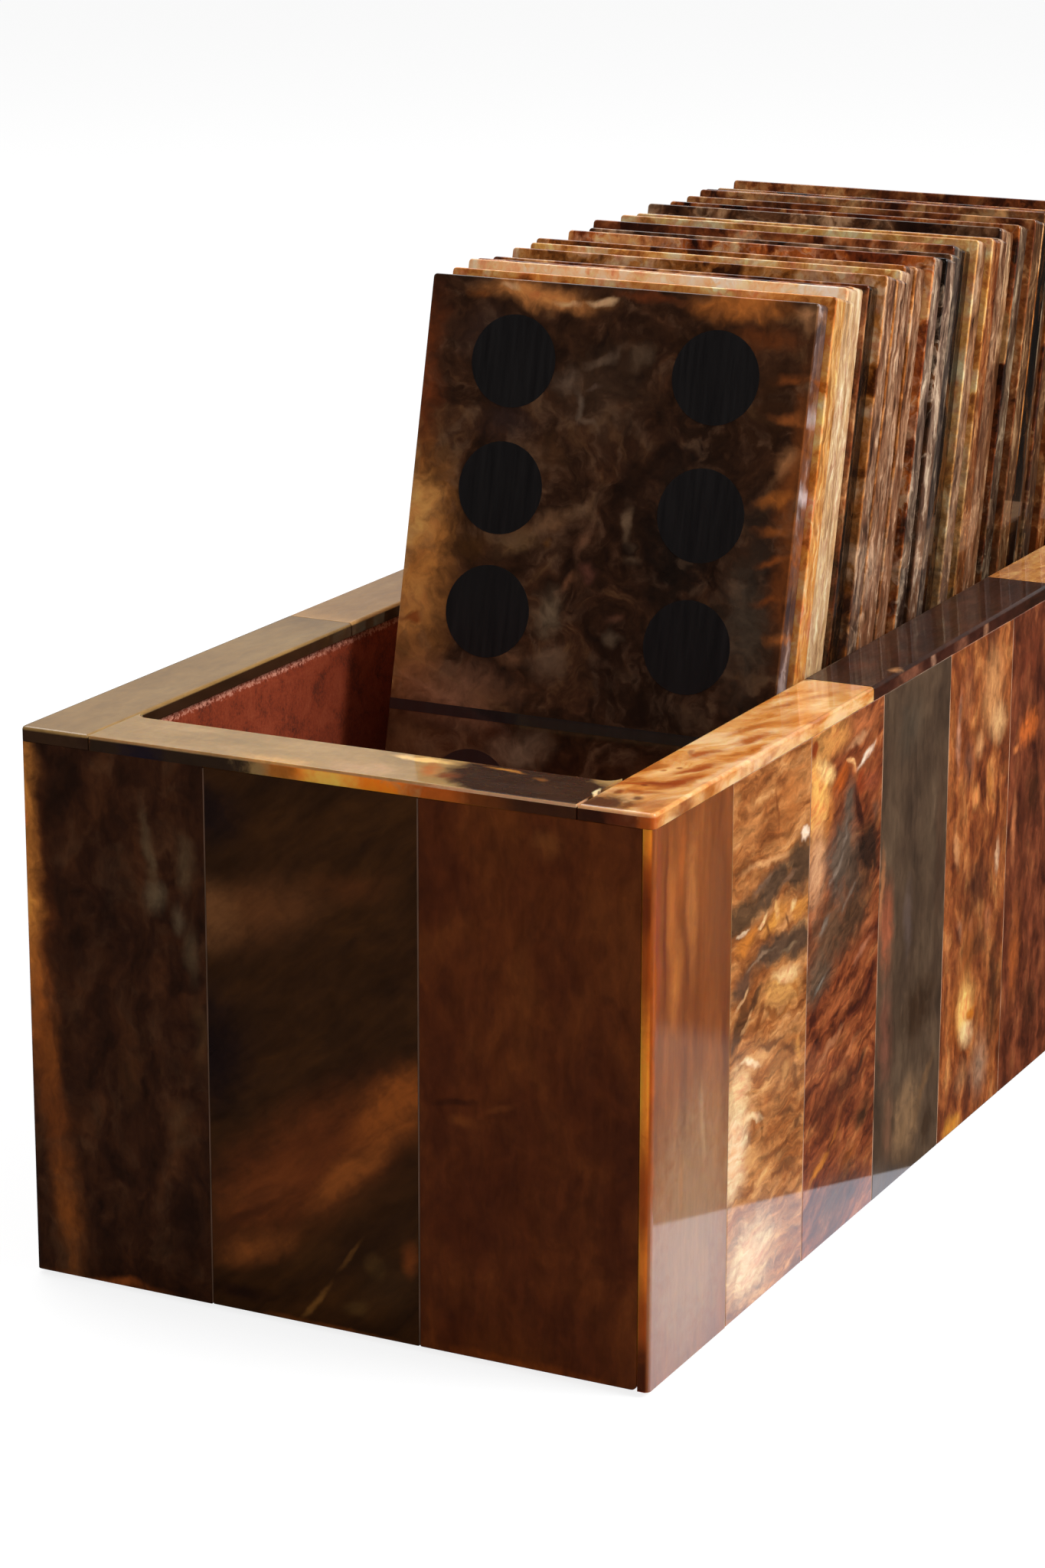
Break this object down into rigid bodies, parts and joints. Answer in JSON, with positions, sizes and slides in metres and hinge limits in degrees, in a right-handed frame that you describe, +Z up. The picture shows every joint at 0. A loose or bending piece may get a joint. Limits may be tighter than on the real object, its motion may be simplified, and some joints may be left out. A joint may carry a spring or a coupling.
{
  "type": "domino storage box",
  "caption": "Open box clad in polished horn strips, lined with suede, holding a double-six set of inlaid horn domino tiles on end.",
  "frame": {"origin": "middle of the box's footprint on the surface that it stands on", "axes": "+X across the box to its right side, +Y along the box from the open front bay to the back that the tiles lean towards, +Z up"},
  "size_m": [0.1, 0.2141, 0.1384],
  "materials": {
    "base_felt": "short brown felt",
    "plywood": "raw plywood, hidden by horn, suede and felt",
    "suede": "rust-red suede with a short nap",
    "horn_cladding": "polished and lacquered marbled horn, amber to near black",
    "horn_rim": "polished and lacquered marbled horn, pale amber to dark brown",
    "horn_tile": "polished marbled horn with near-black horn inlays"
  },
  "bodies": {
    "case": {"base_felt": "base_felt", "base_board": "plywood", "front_board": "plywood", "back_board": "plywood", "left_board": "plywood", "right_board": "plywood", "floor_lining": "suede", "front_lining": "suede", "back_lining": "suede", "left_lining": "suede", "right_lining": "suede", "front_strip_1": "horn_cladding", "front_strip_2": "horn_cladding", "front_strip_3": "horn_cladding", "back_strips": "horn_cladding", "left_strips": "horn_cladding", "right_strip_1": "horn_cladding", "right_strip_2": "horn_cladding", "right_strip_3": "horn_cladding", "right_strip_4": "horn_cladding", "right_strip_5": "horn_cladding", "right_strip_6": "horn_cladding", "right_strip_7": "horn_cladding", "right_strip_8": "horn_cladding", "rim_front": "horn_rim", "rim_back": "horn_rim", "rim_left_1": "horn_rim", "rim_left_2": "horn_rim", "rim_left_3": "horn_rim", "rim_right_1": "horn_rim", "rim_right_2": "horn_rim", "rim_right_3": "horn_rim"},
    "tile_6_6": {"tile_6_6": "horn_tile"},
    "tile_6_5": {"tile_6_5": "horn_tile"},
    "tile_6_4": {"tile_6_4": "horn_tile"},
    "tile_6_3": {"tile_6_3": "horn_tile"},
    "tile_6_2": {"tile_6_2": "horn_tile"},
    "tile_6_1": {"tile_6_1": "horn_tile"},
    "tile_6_0": {"tile_6_0": "horn_tile"},
    "tile_5_5": {"tile_5_5": "horn_tile"},
    "tile_5_4": {"tile_5_4": "horn_tile"},
    "tile_5_3": {"tile_5_3": "horn_tile"},
    "tile_5_2": {"tile_5_2": "horn_tile"},
    "tile_5_1": {"tile_5_1": "horn_tile"},
    "tile_5_0": {"tile_5_0": "horn_tile"},
    "tile_4_4": {"tile_4_4": "horn_tile"},
    "tile_4_3": {"tile_4_3": "horn_tile"},
    "tile_4_2": {"tile_4_2": "horn_tile"},
    "tile_4_1": {"tile_4_1": "horn_tile"},
    "tile_4_0": {"tile_4_0": "horn_tile"},
    "tile_3_3": {"tile_3_3": "horn_tile"},
    "tile_3_2": {"tile_3_2": "horn_tile"},
    "tile_3_1": {"tile_3_1": "horn_tile"},
    "tile_3_0": {"tile_3_0": "horn_tile"},
    "tile_2_2": {"tile_2_2": "horn_tile"},
    "tile_2_1": {"tile_2_1": "horn_tile"},
    "tile_2_0": {"tile_2_0": "horn_tile"},
    "tile_1_1": {"tile_1_1": "horn_tile"},
    "tile_1_0": {"tile_1_0": "horn_tile"},
    "tile_0_0": {"tile_0_0": "horn_tile"}
  },
  "joints": [
    {"name": "tile_6_6_lift", "type": "slide", "parent": "case", "child": "tile_6_6", "axis": [0, 0.2284, 0.9736], "range_m": [0, 0.14]},
    {"name": "tile_6_5_lift", "type": "slide", "parent": "case", "child": "tile_6_5", "axis": [0, 0.2284, 0.9736], "range_m": [0, 0.14]},
    {"name": "tile_6_4_lift", "type": "slide", "parent": "case", "child": "tile_6_4", "axis": [0, 0.2284, 0.9736], "range_m": [0, 0.14]},
    {"name": "tile_6_3_lift", "type": "slide", "parent": "case", "child": "tile_6_3", "axis": [0, 0.2284, 0.9736], "range_m": [0, 0.14]},
    {"name": "tile_6_2_lift", "type": "slide", "parent": "case", "child": "tile_6_2", "axis": [0, 0.2284, 0.9736], "range_m": [0, 0.14]},
    {"name": "tile_6_1_lift", "type": "slide", "parent": "case", "child": "tile_6_1", "axis": [0, 0.2284, 0.9736], "range_m": [0, 0.14]},
    {"name": "tile_6_0_lift", "type": "slide", "parent": "case", "child": "tile_6_0", "axis": [0, 0.2284, 0.9736], "range_m": [0, 0.14]},
    {"name": "tile_5_5_lift", "type": "slide", "parent": "case", "child": "tile_5_5", "axis": [0, 0.2284, 0.9736], "range_m": [0, 0.14]},
    {"name": "tile_5_4_lift", "type": "slide", "parent": "case", "child": "tile_5_4", "axis": [0, 0.2284, 0.9736], "range_m": [0, 0.14]},
    {"name": "tile_5_3_lift", "type": "slide", "parent": "case", "child": "tile_5_3", "axis": [0, 0.2284, 0.9736], "range_m": [0, 0.14]},
    {"name": "tile_5_2_lift", "type": "slide", "parent": "case", "child": "tile_5_2", "axis": [0, 0.2284, 0.9736], "range_m": [0, 0.14]},
    {"name": "tile_5_1_lift", "type": "slide", "parent": "case", "child": "tile_5_1", "axis": [0, 0.2284, 0.9736], "range_m": [0, 0.14]},
    {"name": "tile_5_0_lift", "type": "slide", "parent": "case", "child": "tile_5_0", "axis": [0, 0.2284, 0.9736], "range_m": [0, 0.14]},
    {"name": "tile_4_4_lift", "type": "slide", "parent": "case", "child": "tile_4_4", "axis": [0, 0.2284, 0.9736], "range_m": [0, 0.14]},
    {"name": "tile_4_3_lift", "type": "slide", "parent": "case", "child": "tile_4_3", "axis": [0, 0.2284, 0.9736], "range_m": [0, 0.14]},
    {"name": "tile_4_2_lift", "type": "slide", "parent": "case", "child": "tile_4_2", "axis": [0, 0.2284, 0.9736], "range_m": [0, 0.14]},
    {"name": "tile_4_1_lift", "type": "slide", "parent": "case", "child": "tile_4_1", "axis": [0, 0.2284, 0.9736], "range_m": [0, 0.14]},
    {"name": "tile_4_0_lift", "type": "slide", "parent": "case", "child": "tile_4_0", "axis": [0, 0.2284, 0.9736], "range_m": [0, 0.14]},
    {"name": "tile_3_3_lift", "type": "slide", "parent": "case", "child": "tile_3_3", "axis": [0, 0.2284, 0.9736], "range_m": [0, 0.14]},
    {"name": "tile_3_2_lift", "type": "slide", "parent": "case", "child": "tile_3_2", "axis": [0, 0.2284, 0.9736], "range_m": [0, 0.14]},
    {"name": "tile_3_1_lift", "type": "slide", "parent": "case", "child": "tile_3_1", "axis": [0, 0.2284, 0.9736], "range_m": [0, 0.14]},
    {"name": "tile_3_0_lift", "type": "slide", "parent": "case", "child": "tile_3_0", "axis": [0, 0.2284, 0.9736], "range_m": [0, 0.14]},
    {"name": "tile_2_2_lift", "type": "slide", "parent": "case", "child": "tile_2_2", "axis": [0, 0.2284, 0.9736], "range_m": [0, 0.14]},
    {"name": "tile_2_1_lift", "type": "slide", "parent": "case", "child": "tile_2_1", "axis": [0, 0.2284, 0.9736], "range_m": [0, 0.14]},
    {"name": "tile_2_0_lift", "type": "slide", "parent": "case", "child": "tile_2_0", "axis": [0, 0.2284, 0.9736], "range_m": [0, 0.14]},
    {"name": "tile_1_1_lift", "type": "slide", "parent": "case", "child": "tile_1_1", "axis": [0, 0.2284, 0.9736], "range_m": [0, 0.14]},
    {"name": "tile_1_0_lift", "type": "slide", "parent": "case", "child": "tile_1_0", "axis": [0, 0.2284, 0.9736], "range_m": [0, 0.14]},
    {"name": "tile_0_0_lift", "type": "slide", "parent": "case", "child": "tile_0_0", "axis": [0, 0.2284, 0.9736], "range_m": [0, 0.14]}
  ]
}
